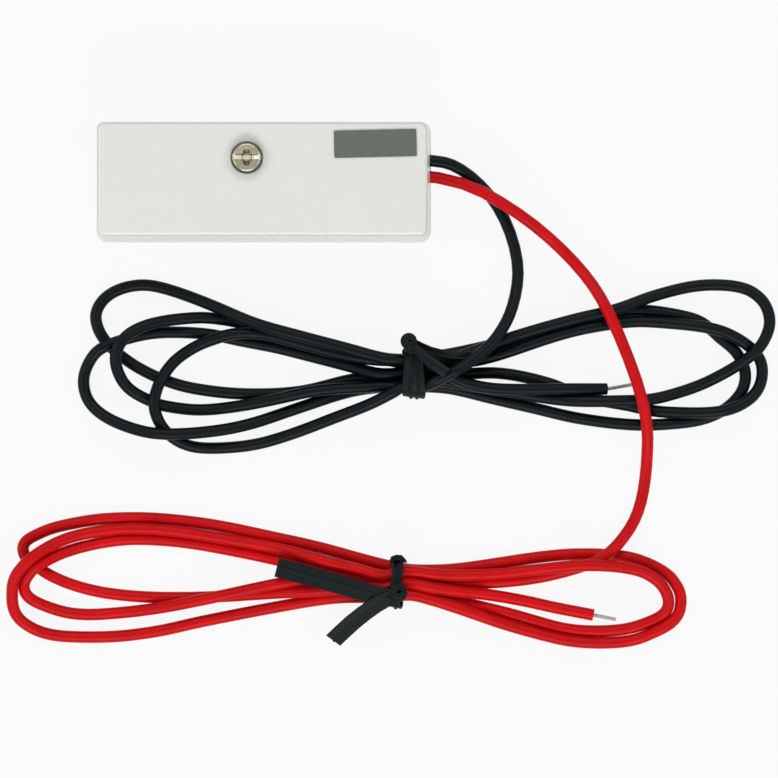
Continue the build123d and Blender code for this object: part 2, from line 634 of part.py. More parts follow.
# Leads with their hanks, ties and stripped ends.
black_lead = tube("black_lead", BLACK_ROUTE, LEAD_DIAMETER)
red_lead = tube("red_lead", RED_ROUTE, LEAD_DIAMETER)
black_hank = hank(
    BLACK_TIE,
    BLACK_WAIST_HEIGHT,
    BLACK_LOBES,
    BLACK_OPENINGS,
    BLACK_TAIL,
    black_lead,
    "black_tail",
)
red_hank = hank(
    RED_TIE, RED_WAIST_HEIGHT, RED_LOBES, RED_OPENINGS, RED_TAIL, red_lead, "red_tail"
)
black_bare_end = bare_end(BLACK_TAIL, BLACK_BARE_TIP)
red_bare_end = bare_end(RED_TAIL, RED_BARE_TIP)
black_tie = twist_tie(BLACK_TIE, BLACK_WAIST_HEIGHT, 1, BLACK_TIE_ENDS)
red_tie = twist_tie(RED_TIE, RED_WAIST_HEIGHT, -1, RED_TIE_ENDS)

pieces = {
    "base": base,
    "cover": cover,
    "threaded_insert": threaded_insert,
    "cover_screw": cover_screw,
    "label": label,
    "piezo_plate": piezo_plate,
    "piezo_ceramic": piezo_ceramic,
    "circuit_board": circuit_board,
    "amplifier_chip": amplifier_chip,
    "relay_chip": relay_chip,
    "storage_capacitor": storage_capacitor,
    "black_terminal": black_terminal,
    "red_terminal": red_terminal,
    "ceramic_wire": ceramic_wire,
    "plate_wire": plate_wire,
    "black_lead": black_lead,
    "black_hank": black_hank,
    "black_tie": black_tie,
    "black_bare_end": black_bare_end,
    "red_lead": red_lead,
    "red_hank": red_hank,
    "red_tie": red_tie,
    "red_bare_end": red_bare_end,
}
for number, resistor in enumerate(resistors, start=1):
    pieces[f"resistor_{number}"] = resistor

os.makedirs("parts", exist_ok=True)
for name, piece in pieces.items():
    piece.part.label = name
    export_step(piece.part, f"parts/{name}.step")
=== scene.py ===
import math

import bpy
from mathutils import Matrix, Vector
from mathutils.geometry import interpolate_bezier


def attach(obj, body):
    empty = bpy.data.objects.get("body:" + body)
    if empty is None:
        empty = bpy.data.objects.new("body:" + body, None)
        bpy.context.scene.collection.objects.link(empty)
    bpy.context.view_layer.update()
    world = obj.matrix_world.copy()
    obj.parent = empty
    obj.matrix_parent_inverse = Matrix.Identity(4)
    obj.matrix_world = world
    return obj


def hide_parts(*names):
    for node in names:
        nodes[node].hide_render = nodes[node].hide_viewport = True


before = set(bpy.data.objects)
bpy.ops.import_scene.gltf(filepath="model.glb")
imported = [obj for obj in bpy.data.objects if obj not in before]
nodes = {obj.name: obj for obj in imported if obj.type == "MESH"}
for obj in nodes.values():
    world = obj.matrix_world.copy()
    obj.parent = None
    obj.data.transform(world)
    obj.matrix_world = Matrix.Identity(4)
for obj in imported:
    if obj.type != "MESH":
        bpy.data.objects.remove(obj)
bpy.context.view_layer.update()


# Base and cover: two mouldings in off-white plastic, a flat base and a drafted cover that
# closes round its lip. The tool leaves a fine, even grain, and the colour is a little cloudy.
MM = 0.001


class Shade:
    """One socket of a finish. Sums of shades and numbers add the nodes that work them out."""

    def __init__(self, tree, socket):
        self.tree = tree
        self.socket = socket

    def node(self, kind, settings, sockets, output=0):
        """Any node: its settings first, then the values or shades of its sockets."""
        node = self.tree.nodes.new(kind)
        for name, value in settings.items():
            setattr(node, name, value)
        for name, value in sockets.items():
            if isinstance(value, Shade):
                self.tree.links.new(value.socket, node.inputs[name])
            else:
                node.inputs[name].default_value = value
        return Shade(self.tree, node.outputs[output] if node.outputs else None)

    def sum(self, operation, first, second):
        return self.node("ShaderNodeMath", {"operation": operation}, {0: first, 1: second})

    def __add__(self, other):
        return self.sum("ADD", self, other)

    __radd__ = __add__

    def __sub__(self, other):
        return self.sum("SUBTRACT", self, other)

    def __rsub__(self, other):
        return self.sum("SUBTRACT", other, self)

    def __mul__(self, other):
        return self.sum("MULTIPLY", self, other)

    __rmul__ = __mul__

    def between(self, low, high):
        """A colour that goes from low to high as this shade goes from 0 to 1."""
        return self.node("ShaderNodeMix", {"data_type": "RGBA"}, {0: self, 6: low, 7: high}, 2)

    def noise(self, scale, detail=3.0):
        """Cloudy specks, scale of them to a metre, at this place."""
        return self.node(
            "ShaderNodeTexNoise", {}, {"Vector": self, "Scale": scale, "Detail": detail}
        )

    def spread(self, low, high):
        """This shade stretched so that low becomes 0 and high becomes 1."""
        return self.node(
            "ShaderNodeMapRange", {}, {"Value": self, "From Min": low, "From Max": high}
        )

    def bump(self, depth):
        """The surface raised by this shade, depth metres where it is 1."""
        return self.node("ShaderNodeBump", {}, {"Distance": depth, "Height": self})


def start_finish(name):
    """A new material and the place on the piece, in metres, that its nodes read."""
    material = bpy.data.materials.new(name)
    material.use_nodes = True
    material.node_tree.nodes.clear()
    place = Shade(material.node_tree, None).node("ShaderNodeTexCoord", {}, {}, "Object")
    return material, place


def close_finish(place, sockets):
    surface = place.node("ShaderNodeBsdfPrincipled", {}, sockets)
    place.node("ShaderNodeOutputMaterial", {}, {"Surface": surface})


def dress(material, *names):
    """Gives solids of the frame their finish."""
    for name in names:
        nodes[name].data.materials.clear()
        nodes[name].data.materials.append(material)


off_white, place = start_finish("moulded_off_white")
cloud = place.noise(55.0, 2.0)
grain = place.noise(2600.0)
close_finish(
    place,
    {
        "Base Color": cloud.between((0.735, 0.745, 0.700, 1), (0.775, 0.785, 0.742, 1)),
        "Roughness": 0.20 + 0.12 * grain,
        "Normal": grain.bump(0.02 * MM),
    },
)
dress(off_white, "base", "cover")


# Insert and disc: a turned brass bush pressed into the boss, and a thin brass plate that
# carries a disc of fired piezo ceramic. Both are hidden once the cover is on.
brass, place = start_finish("turned_brass")
tarnish = place.noise(700.0)
close_finish(
    place,
    {
        "Base Color": tarnish.between((0.62, 0.44, 0.17, 1), (0.80, 0.62, 0.30, 1)),
        "Metallic": 1.0,
        "Roughness": 0.24 + 0.20 * tarnish,
    },
)
dress(brass, "threaded_insert", "piezo_plate")

ceramic, place = start_finish("fired_ceramic")
speck = place.noise(3500.0)
close_finish(
    place,
    {
        "Base Color": speck.between((0.70, 0.69, 0.64, 1), (0.86, 0.85, 0.80, 1)),
        "Roughness": 0.55 + 0.15 * speck,
        "Normal": speck.bump(0.01 * MM),
    },
)
dress(ceramic, "piezo_ceramic")


# Circuit board: glass-filled board under green lacquer. Soldered to it are moulded chips, fired
# resistors, a capacitor in a drawn can, and tinned terminals for the leads.
lacquer, place = start_finish("green_lacquer")
weave = place.noise(1800.0)
close_finish(
    place,
    {
        "Base Color": weave.between((0.012, 0.10, 0.045, 1), (0.03, 0.19, 0.09, 1)),
        "Roughness": 0.28 + 0.14 * weave,
    },
)
dress(lacquer, "circuit_board")

epoxy, place = start_finish("moulded_epoxy")
speck = place.noise(4000.0)
close_finish(
    place,
    {
        "Base Color": speck.between((0.012, 0.012, 0.014, 1), (0.035, 0.035, 0.038, 1)),
        "Roughness": 0.5 + 0.2 * speck,
        "Normal": speck.bump(0.01 * MM),
    },
)
dress(epoxy, "amplifier_chip", "relay_chip")
dress(ceramic, "resistor_1", "resistor_2", "resistor_3")

tin, place = start_finish("tinned_metal")
cast = place.noise(1500.0)
close_finish(
    place,
    {
        "Base Color": cast.between((0.55, 0.55, 0.53, 1), (0.82, 0.82, 0.80, 1)),
        "Metallic": 1.0,
        "Roughness": 0.22 + 0.20 * cast,
    },
)
dress(tin, "storage_capacitor", "black_terminal", "red_terminal")


# Disc wires: two fine wires that take the disc's voltage to the board, soldered at both ends.
# They have the same extruded insulation as the leads.
def insulation(name, dark, light):
    """Extruded insulation: satin, a little cloudy, with fine scuffs."""
    finish, place = start_finish(name)
    cloud = place.noise(160.0, 2.0)
    scuff = place.noise(1900.0)
    close_finish(
        place,
        {
            "Base Color": cloud.between(dark, light),
            "Roughness": 0.27 + 0.20 * scuff,
            "Normal": scuff.bump(0.01 * MM),
            "Specular IOR Level": 0.11,
        },
    )
    return finish


black_insulation = insulation(
    "black_insulation", (0.0004, 0.0028, 0.004, 1), (0.0014, 0.005, 0.0065, 1)
)
red_insulation = insulation("red_insulation", (0.42, 0.002, 0.003, 1), (0.74, 0.005, 0.008, 1))
dress(red_insulation, "ceramic_wire")
dress(black_insulation, "plate_wire")


# Cover screw: a steel pan head with a slot and a cross struck into it, plated in yellowish
# nickel. Its rounded edge is painted dark, a painted reflection of dark surroundings, and the
# floor of the slot is painted bright, a painted highlight.
SCREW_AT = Vector((-2.8, 3.9, 0.0)) * MM
HEAD_TOP = 17.0
HEAD_RADIUS = 3.0
HEAD_FLAT = 2.1
HEAD_DOME = 0.25
HEAD_ROUND = 1.2
HEAD_CREASE = math.radians(35)
SLOT_DEPTH = 0.7
SLOT_REACH = 2.7
SLOT_FALL = 1.4
CROSS_DEPTH = 1.2
CROSS_REACH = 1.7
CROSS_FALL = 1.1
RECESS_HALF = 0.62
RECESS_WALL = 0.28
SHANK = [(3.0, 15.4), (3.0, 15.0), (1.5, 15.0), (1.5, 5.4), (1.1, 5.0), (0.0, 5.0)]
HEAD_RINGS = 40
HEAD_SIDES = 128
# Painted dark reflection on the rim of the head: where it begins and where it is full.
DARK_RIM_FROM = 2.3 * MM
DARK_RIM_TO = 2.75 * MM
# Painted highlight along the slot: its half width, and where it has faded out.
SLOT_HIGHLIGHT_HALF = 0.3 * MM
SLOT_HIGHLIGHT_EDGE = 0.45 * MM


def ramp(value, length):
    return min(max(value / length, 0.0), 1.0)


def head_height(x, y):
    """Height of the top of the head, in millimetres: a low dome, less what is struck out."""
    away = math.hypot(x, y)
    edge = ramp(away - HEAD_FLAT, HEAD_RADIUS - HEAD_FLAT)
    dome = HEAD_TOP - HEAD_DOME * min(away / HEAD_FLAT, 1.0) ** 2
    dome -= HEAD_ROUND * (1 - math.sqrt(1 - edge**2))
    wall_x = ramp(RECESS_HALF - abs(x), RECESS_WALL)
    wall_y = ramp(RECESS_HALF - abs(y), RECESS_WALL)
    slot = SLOT_DEPTH * wall_y * ramp(SLOT_REACH - abs(x), SLOT_FALL)
    arm_x = CROSS_DEPTH * wall_y * ramp(CROSS_REACH - abs(x), CROSS_FALL)
    arm_y = CROSS_DEPTH * wall_x * ramp(CROSS_REACH - abs(y), CROSS_FALL)
    return dome - max(slot, arm_x, arm_y)


turns = [2 * math.pi * side / HEAD_SIDES for side in range(HEAD_SIDES)]
rings = []
for ring in range(HEAD_RINGS + 1):
    away = HEAD_RADIUS * ring / HEAD_RINGS
    circle = [(away * math.cos(turn), away * math.sin(turn)) for turn in turns]
    rings.append([(x, y, head_height(x, y)) for x, y in circle])
for away, z in SHANK:
    rings.append([(away * math.cos(turn), away * math.sin(turn), z) for turn in turns])
vertices = [SCREW_AT + Vector(point) * MM for ring in rings for point in ring]
faces = []
for ring in range(len(rings) - 1):
    for side in range(HEAD_SIDES):
        here = ring * HEAD_SIDES + side
        beside = ring * HEAD_SIDES + (side + 1) % HEAD_SIDES
        faces.append((here, here + HEAD_SIDES, beside + HEAD_SIDES, beside))
mesh = bpy.data.meshes.new("struck_screw")
mesh.from_pydata(vertices, [], faces)
mesh.validate()
mesh.shade_smooth()
mesh.set_sharp_from_angle(angle=HEAD_CREASE)
screw = bpy.data.objects.new("struck_screw", mesh)
bpy.context.scene.collection.objects.link(screw)

nickel, place = start_finish("nickel_plate")
tumbled = place.noise(2400.0)
stain = place.noise(450.0, 2.0)
level = place.node("ShaderNodeVectorMath", {"operation": "MULTIPLY"}, {0: place, 1: (1, 1, 0)})
from_middle = level.node(
    "ShaderNodeVectorMath", {"operation": "DISTANCE"}, {0: level, 1: SCREW_AT}, "Value"
)
# Painted dark reflection: the rounded edge is painted near-black in place of the dark room it mirrors.
painted_dark_rim = from_middle.spread(DARK_RIM_FROM, DARK_RIM_TO)
offset = place.node("ShaderNodeVectorMath", {"operation": "SUBTRACT"}, {0: place, 1: SCREW_AT})
offset = offset.node("ShaderNodeVectorMath", {"operation": "ABSOLUTE"}, {0: offset})
across = offset.node("ShaderNodeSeparateXYZ", {}, {"Vector": offset}, "Y")
# Painted highlight: a band along the slot is painted a paler nickel, in place of light caught by its
# floor.
painted_slot_highlight = 1 - across.spread(SLOT_HIGHLIGHT_HALF, SLOT_HIGHLIGHT_EDGE)
plate = stain.between((0.24, 0.215, 0.15, 1), (0.46, 0.42, 0.32, 1))
plate = painted_slot_highlight.between(plate, (0.62, 0.57, 0.44, 1))
close_finish(
    place,
    {
        "Base Color": painted_dark_rim.between(plate, (0.07, 0.065, 0.05, 1)),
        "Metallic": 1.0,
        "Roughness": 0.16 + 0.22 * tumbled,
        "Normal": tumbled.bump(0.01 * MM),
    },
)
mesh.materials.append(nickel)
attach(screw, "root")
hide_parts("cover_screw")


# Badge: a plain grey film of plastic with a satin face, cut square and stuck to the cover
# near the end where the leads come out.
badge_grey, place = start_finish("grey_badge_film")
film_grain = place.noise(1600.0)
close_finish(
    place,
    {
        "Base Color": film_grain.between((0.105, 0.120, 0.107, 1), (0.132, 0.150, 0.134, 1)),
        "Roughness": 0.36 + 0.16 * film_grain,
        "Normal": film_grain.bump(0.01 * MM),
        "Specular IOR Level": 0.3,
    },
)
dress(badge_grey, "label")


# Black lead: one core in black insulation. It comes out of the end wall, bends down to the
# table and is wound in loops to each side of a tie. Places are in millimetres.
WIRE = 2.2 * MM
WIRE_ROUNDNESS = 7
WIRE_STEPS = 4
CURVE_ORDER = 3
STEP = 2.4 * MM

# A laid wire comes down on SLOPE, climbs out of a tie on CLIMB at most, and is lifted by LIFT
# where it lies squarely on another. LOW, MIDDLE and HIGH are the layers inside a tie.
SLOPE = 0.22
CLIMB = 0.45
LIFT = 1.14 * WIRE
SWEEPS = 5
TIE_REACH = 2.0
LOW, MIDDLE, HIGH = 1.9, 3.8, 5.7

BLACK_ROUTE = [
    (20.6, 4.12, 3.6),
    (30.4, 4.12, 3.6),
    (36.4, 2.9, 3.2),
    (43.8, -4.2, 1.3),
    (47.6, -15.0, 1.6),
    (46.2, -23.6, 4.6),
    (43.3, -28.8, 6.0),
]
BLACK_TIE = (27.8, -35.2)

# Where the wire goes into the tie and out of it each time: how far across, and how high.
BLACK_PASSES = [
    ((-2.75, HIGH), (-2.75, HIGH)),
    ((2.1, MIDDLE), (2.75, MIDDLE)),
    ((-2.75, LOW), (-2.75, LOW)),
    ((-0.2, MIDDLE), (0.55, MIDDLE)),
    ((-1.65, MIDDLE), (-2.75, MIDDLE)),
    ((1.65, LOW), (1.65, LOW)),
    ((-0.55, LOW), (-0.55, LOW)),
    ((2.2, HIGH), (1.65, HIGH)),
]

# The loops as they were wound, left and right in turn. Each is given in stretches: which
# others it lies on, those with a lower number, then the points that it passes.
BLACK_LEAD_IN = [(9, [(40.5, -31.6), (37.1, -34.1), (33.6, -36.0)])]
BLACK_LOOPS = [
    [
        (6, [
            (24.2, -38.9), (19.7, -41.2), (13.2, -43.7), (5.9, -46.5), (-0.7, -48.5), (-5.6, -49.2),
            (-11.9, -49.3), (-15.2, -48.4), (-17.4, -46.9), (-19.1, -44.9), (-20.2, -41.7),
        ]),
        (5, [
            (-19.7, -38.4), (-18.2, -35.4), (-16.0, -32.8), (-12.3, -30.4), (-8.9, -29.1),
            (-5.6, -28.2), (-0.7, -28.2), (6.7, -30.0), (14.1, -32.0), (19.5, -32.9), (22.8, -33.1),
        ]),
    ],
    [
        (2, [(33.5, -32.1)]),
        (1, [
            (41.5, -30.4), (49.4, -28.4), (62.2, -25.2), (67.0, -23.9), (71.8, -23.9), (79.1, -25.2),
            (81.9, -26.5), (84.5, -28.9), (87.2, -31.1), (88.9, -33.9), (89.3, -36.4),
        ]),
        (2, [
            (88.6, -38.9), (86.7, -41.2), (84.0, -43.0), (80.6, -44.2), (76.1, -44.8), (70.2, -45.1),
            (64.4, -44.7), (57.0, -43.6), (51.2, -42.2), (42.1, -40.1), (34.6, -38.3),
        ]),
    ],
    [
        (1, [(23.4, -37.9), (16.3, -38.8)]),
        (7, [
            (5.9, -42.1), (-1.5, -44.6), (-7.2, -45.9), (-15.2, -46.7), (-21.0, -46.5), (-26.2, -45.0),
            (-30.1, -43.0), (-32.7, -40.2), (-33.4, -36.3),
        ]),
        (3, [
            (-31.7, -32.4), (-29.5, -30.6), (-23.5, -28.6), (-18.6, -27.9), (-10.6, -28.2),
            (-4.1, -29.5), (2.6, -30.8), (9.3, -32.5), (16.3, -34.3), (21.2, -35.6),
        ]),
    ],
    [
        (5, [
            (33.5, -33.4), (40.1, -31.0), (45.7, -28.9), (56.8, -25.7), (65.5, -23.6), (71.8, -21.3),
            (79.3, -19.4), (84.5, -19.1), (89.3, -19.8), (92.3, -21.9), (93.6, -24.8),
        ]),
        (6, [
            (93.4, -27.6), (91.5, -31.0), (87.6, -34.1), (81.3, -37.5), (76.1, -39.3), (71.8, -40.3),
            (66.6, -40.6), (56.8, -40.6), (51.2, -39.9), (43.8, -38.8), (35.6, -37.4),
        ]),
    ],
    [
        (2, [
            (22.8, -37.9), (9.8, -38.7), (2.6, -40.2), (-4.1, -41.5), (-11.9, -42.3), (-18.6, -41.5),
            (-21.0, -40.6),
        ]),
        (4, [
            (-24.5, -38.7), (-26.5, -36.2), (-27.4, -32.4), (-25.8, -29.1), (-23.5, -27.4),
            (-20.2, -26.2), (-15.2, -25.4), (-10.2, -25.2), (-4.5, -26.1), (4.8, -28.6), (14.1, -31.2),
        ]),
        (1, [(18.3, -32.2), (22.5, -32.95)]),
    ],
    [
        (1, [(33.5, -33.75)]),
        (3, [
            (40.1, -33.0), (45.7, -31.4), (51.2, -29.5), (56.8, -27.8), (62.2, -26.7), (68.9, -25.9),
            (75.0, -26.2), (81.3, -26.9), (85.6, -28.0), (89.8, -30.4), (91.9, -32.8), (92.4, -35.4),
        ]),
        (4, [
            (91.7, -38.2), (89.8, -40.4), (86.5, -42.1), (82.4, -42.8), (77.2, -42.8), (72.4, -42.5),
            (67.8, -41.5), (59.4, -39.9), (54.0, -37.7), (48.4, -36.2), (42.9, -35.4),
        ]),
        (1, [(36.0, -35.7)]),
    ],
    [
        (1, [
            (22.8, -35.75), (16.3, -36.6), (6.5, -38.9), (-4.1, -39.3), (-13.6, -38.2), (-18.6, -36.7),
            (-22.5, -34.9), (-25.8, -32.8), (-29.6, -29.3), (-31.3, -24.6),
        ]),
        (8, [
            (-28.5, -20.7), (-23.2, -19.1), (-18.6, -19.7), (-10.6, -22.5), (-1.5, -26.3),
            (5.9, -28.4), (16.3, -31.15), (19.8, -32.15), (23.0, -32.85),
        ]),
    ],
]
BLACK_TAIL = [
    (7, [(33.5, -35.4), (37.0, -37.2), (42.0, -38.3), (49.4, -38.5), (54.9, -38.4), (63.5, -38.4)]),
]


def drawn_through(marks):
    """Points a short step apart on a smooth line through the marks, each with the number of
    the mark before it and its share of the way to the next."""
    line = []
    for number, (here, there) in enumerate(zip(marks, marks[1:])):
        before = marks[max(number - 1, 0)]
        after = marks[min(number + 2, len(marks) - 1)]
        third = (there - here).length / 3
        leaving = here + (there - before).normalized() * third
        arriving = there - (after - here).normalized() * third
        count = max(2, round((there - here).length / STEP))
        points = interpolate_bezier(here, leaving, arriving, there, count + 1)
        line += [(number, n / count, point) for n, point in enumerate(points[:-1])]
    return line + [(len(marks) - 2, 1.0, marks[-1])]


def settled(line, order, held):
    """Heights of a wound wire: each stretch lies on the table or on those laid before it, and
    comes down from them on a gentle slope. Held points keep the heights that the tie gives."""
    steps = [(there - here).length for here, there in zip(line, line[1:])]
    travel = [sum(steps[:number]) for number in range(len(line))]
    free = [number for number in range(len(line)) if number not in held]
    crossings = []
    for number in sorted(free, key=lambda n: order[n]):
        for under in free:
            beside = min(under + 1, len(line) - 1)
            if order[under] >= order[number] or abs(travel[number] - travel[under]) < 2 * WIRE:
                continue
            run = line[beside] - line[under]
            share = (line[number] - line[under]).dot(run) / max(run.length_squared, MM**2)
            share = min(max(share, 0.0), 1.0)
            gap = (line[under] + run * share - line[number]).length
            if gap < WIRE:
                lift = LIFT * math.sqrt(1 - (gap / WIRE) ** 2)
                crossings.append((number, under, beside, share, lift))
    heights = [held.get(number, WIRE / 2) for number in range(len(line))]
    roof = [
        min(z + CLIMB * abs(way - travel[tied]) for tied, z in held.items())
        for way in travel
    ]
    for sweep in range(SWEEPS):
        if sweep:
            before = list(heights)
            for number in free[1:-1]:
                heights[number] = before[number] / 2 + (before[number - 1] + before[number + 1]) / 4
        for number, under, beside, share, lift in crossings:
            below = heights[under] * (1 - share) + heights[beside] * share
            heights[number] = min(max(heights[number], below + lift), roof[number])
        for number in free[1:]:
            heights[number] = max(heights[number], heights[number - 1] - SLOPE * steps[number - 1])
        for number in reversed(free[:-1]):
            heights[number] = max(heights[number], heights[number + 1] - SLOPE * steps[number])
    return heights


def wound(tie, passes, lead_in, loops, tail):
    """Control points of a hank, from its lead through every loop to its tail."""
    marks = []
    turns = []
    rows = {}

    def lay(stretches):
        for turn, points in stretches:
            marks.extend(Vector(point) * MM for point in points)
            turns.extend([turn] * len(points))

    def go_through(side, ends):
        for reach, (across, height) in zip((-side * TIE_REACH, side * TIE_REACH), ends):
            rows[len(marks)] = height * MM
            marks.append(Vector((tie[0] + reach, tie[1] + across)) * MM)
            turns.append(0)

    lay(lead_in)
    for number, loop in enumerate(loops):
        go_through(1 if number % 2 else -1, passes[number])
        lay(loop)
    go_through(1, passes[-1])
    lay(tail)

    line = []
    order = []
    held = {}
    for number, share, point in drawn_through(marks):
        if number in rows and (share == 0 or number + 1 in rows):
            after = rows.get(number + 1, rows[number])
            held[len(line)] = rows[number] * (1 - share) + after * share
        line.append(point)
        order.append(turns[number] or turns[number + 1])
    heights = settled(line, order, held)
    return [point.to_3d() + Vector((0, 0, z)) for point, z in zip(line, heights)]


def wire_curve(name, points, thickness, finish):
    """A round wire drawn along control points."""
    curve = bpy.data.curves.new(name, "CURVE")
    curve.dimensions = "3D"
    curve.bevel_depth = thickness / 2
    curve.bevel_resolution = WIRE_ROUNDNESS
    curve.use_fill_caps = True
    curve.resolution_u = WIRE_STEPS
    spline = curve.splines.new("NURBS")
    spline.points.add(len(points) - 1)
    for control, point in zip(spline.points, points):
        control.co = (*point, 1)
    spline.order_u = CURVE_ORDER
    spline.use_endpoint_u = True
    curve.materials.append(finish)
    wire = bpy.data.objects.new(name, curve)
    bpy.context.scene.collection.objects.link(wire)
    return wire


black_route = [Vector(point) * MM for point in BLACK_ROUTE]
black_turns = wound(BLACK_TIE, BLACK_PASSES, BLACK_LEAD_IN, BLACK_LOOPS, BLACK_TAIL)
black_wire = wire_curve("black_wire", black_route + black_turns, WIRE, black_insulation)
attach(black_wire, "root")
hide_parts("black_lead", "black_hank")


# Black tie: a flat plastic strip with a wire core, wrapped round the waist of the hank. Its
# ends are twisted together into a knob at the back and bent forward over the wires. Its section
# is given by a quarter: how far across and how thick, from the edge to the rib over the core.
STRIP_QUARTER = [(-1.8, 0.06), (-1.72, 0.16), (-0.5, 0.16), (-0.34, 0.2), (-0.26, 0.4), (0.0, 0.5)]
STRIP_TOP = STRIP_QUARTER + [(-across, up) for across, up in reversed(STRIP_QUARTER[:-1])]
STRIP_PROFILE = STRIP_TOP + [(-across, -up) for across, up in STRIP_TOP]
STRIP_CREASE = math.radians(50)
WRAP_MARKS = 20
WRAP_SKEW = 0.12
WRAP_TILT = 0.08
SQUARENESS = 0.72
KNOB_MARKS = 10
KNOB_RISE = 76
UP = Vector((0, 0, 1))
BLACK_TIE_SHORT_END = [
    ((27.2, -30.2, 8.6), (0.3, 0.25, 0.35)),
    ((29.6, -32.4, 9.4), (0.34, 0.3, 0.3)),
    ((31.8, -34.1, 9.7), (0.38, 0.36, 0.2)),
    ((33.8, -35.5, 9.5), (0.38, 0.4, 0.15)),
]
BLACK_TIE_LONG_END = [
    ((27.4, -30.0, 8.2), (0.1, 0.5, 0.4)),
    ((30.6, -31.5, 7.5), (0.1, 0.5, 0.4)),
    ((34.5, -32.5, 6.8), (0.1, 0.6, 0.4)),
    ((39.2, -32.8, 6.4), (0.0, 0.7, 0.3)),
]


def wrap(middle, half_width, half_height, lean, breadth):
    """Marks for one turn of a strip round a hank, squarish, askew and closed underneath."""
    marks = []
    for number in range(WRAP_MARKS + 1):
        angle = math.radians(360 * number / WRAP_MARKS - 90)
        across, up = math.cos(angle), math.sin(angle)
        y = half_width * math.copysign(abs(across) ** SQUARENESS, across)
        z = half_height * math.copysign(abs(up) ** SQUARENESS, up)
        place = Vector(middle) + Vector((lean * math.sin(2 * angle), y, z))
        marks.append((place, Vector((breadth, WRAP_SKEW * across, WRAP_TILT * up))))
    return marks


def strips(name, finish, runs):
    """A mesh of flat strips, each given by marks: a place, and the way that the strip is wide
    there, shorter than 1 where it is creased along its length."""
    vertices = []
    faces = []
    for marks in runs:
        centres = [Vector(place) * MM for place, _ in marks]
        sides = [Vector(side) for _, side in marks]
        line = drawn_through(centres)
        first = len(vertices)
        for n, (number, share, centre) in enumerate(line):
            ahead = line[min(n + 1, len(line) - 1)][2] - line[max(n - 1, 0)][2]
            side = sides[number].lerp(sides[number + 1], share)
            up = ahead.cross(side).normalized()
            across = up.cross(ahead).normalized() * side.length
            vertices += [centre + (across * u + up * v) * MM for u, v in STRIP_PROFILE]
        ring = len(STRIP_PROFILE)
        for n in range(len(line) - 1):
            start = first + n * ring
            for k in range(ring):
                after = (k + 1) % ring
                faces.append((start + k, start + after, start + ring + after, start + ring + k))
        faces.append(tuple(range(first + ring - 1, first - 1, -1)))
        faces.append(tuple(range(len(vertices) - ring, len(vertices))))
    mesh = bpy.data.meshes.new(name)
    mesh.from_pydata(vertices, [], faces)
    mesh.shade_smooth()
    mesh.set_sharp_from_angle(angle=STRIP_CREASE)
    mesh.materials.append(finish)
    tie = bpy.data.objects.new(name, mesh)
    bpy.context.scene.collection.objects.link(tie)
    return tie


def twisted(start, end, turns, count, breadth):
    """Marks for a strip twisted along a line."""
    start = Vector(start)
    axis = (Vector(end) - start).normalized()
    level = axis.orthogonal().normalized()
    square = axis.cross(level)
    marks = []
    for number in range(count + 1):
        angle = 2 * math.pi * turns * number / count
        side = level * math.cos(angle) + square * math.sin(angle)
        marks.append((start.lerp(Vector(end), number / count), side * breadth))
    return marks


def knob(middle, radius, turns, breadth):
    """Marks for a strip wound up into a round knob, from its foot to its top."""
    marks = []
    count = turns * KNOB_MARKS
    for number in range(count + 1):
        angle = 2 * math.pi * number / KNOB_MARKS
        rise = math.radians(KNOB_RISE * (2 * number / count - 1))
        out = Vector((math.cos(angle), math.sin(angle), 0))
        place = Vector(middle) + (out * math.cos(rise) + UP * math.sin(rise)) * radius
        marks.append((place, (UP * math.cos(rise) - out * math.sin(rise)) * breadth))
    return marks


tie_black, place = start_finish("black_tie_plastic")
crease = place.noise(900.0)
close_finish(
    place,
    {
        "Base Color": crease.between((0.002, 0.0045, 0.005, 1), (0.007, 0.011, 0.0125, 1)),
        "Roughness": 0.42 + 0.2 * crease,
        "Normal": crease.bump(0.04 * MM),
        "Specular IOR Level": 0.12,
    },
)
black_tie = strips(
    "black_twist_tie",
    tie_black,
    [
        wrap((27.3, -35.3, 3.95), half_width=4.5, half_height=3.45, lean=0.25, breadth=0.8),
        wrap((28.4, -35.5, 3.95), half_width=4.4, half_height=3.42, lean=-0.3, breadth=0.7),
        twisted((27.3, -31.2, 6.4), (26.9, -29.9, 8.6), turns=1.2, count=8, breadth=0.6),
        twisted((27.1, -31.0, 6.4), (26.8, -29.9, 8.4), turns=-0.9, count=8, breadth=0.6),
        knob((26.9, -29.6, 8.6), radius=1.1, turns=3, breadth=0.42),
        BLACK_TIE_SHORT_END,
        BLACK_TIE_LONG_END,
    ],
)
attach(black_tie, "root")
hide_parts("black_tie")


# Black bare end: the tinned copper strands of the core, twisted together where the insulation
# has been stripped from the cut end of the lead.
BLACK_BARE_TIP = (68.1, -37.6, 1.2)
STRANDS = 6
STRAND = 0.24 * MM
STRAND_ROUNDNESS = 2
STRAND_MARKS = 8
LAY_LENGTH = 3.2 * MM

dull_tin, place = start_finish("dull_tin")
smear = place.noise(1500.0)
close_finish(
    place,
    {
        "Base Color": smear.between((0.18, 0.19, 0.195, 1), (0.46, 0.47, 0.475, 1)),
        "Metallic": 1.0,
        "Roughness": 0.30 + 0.2 * smear,
    },
)


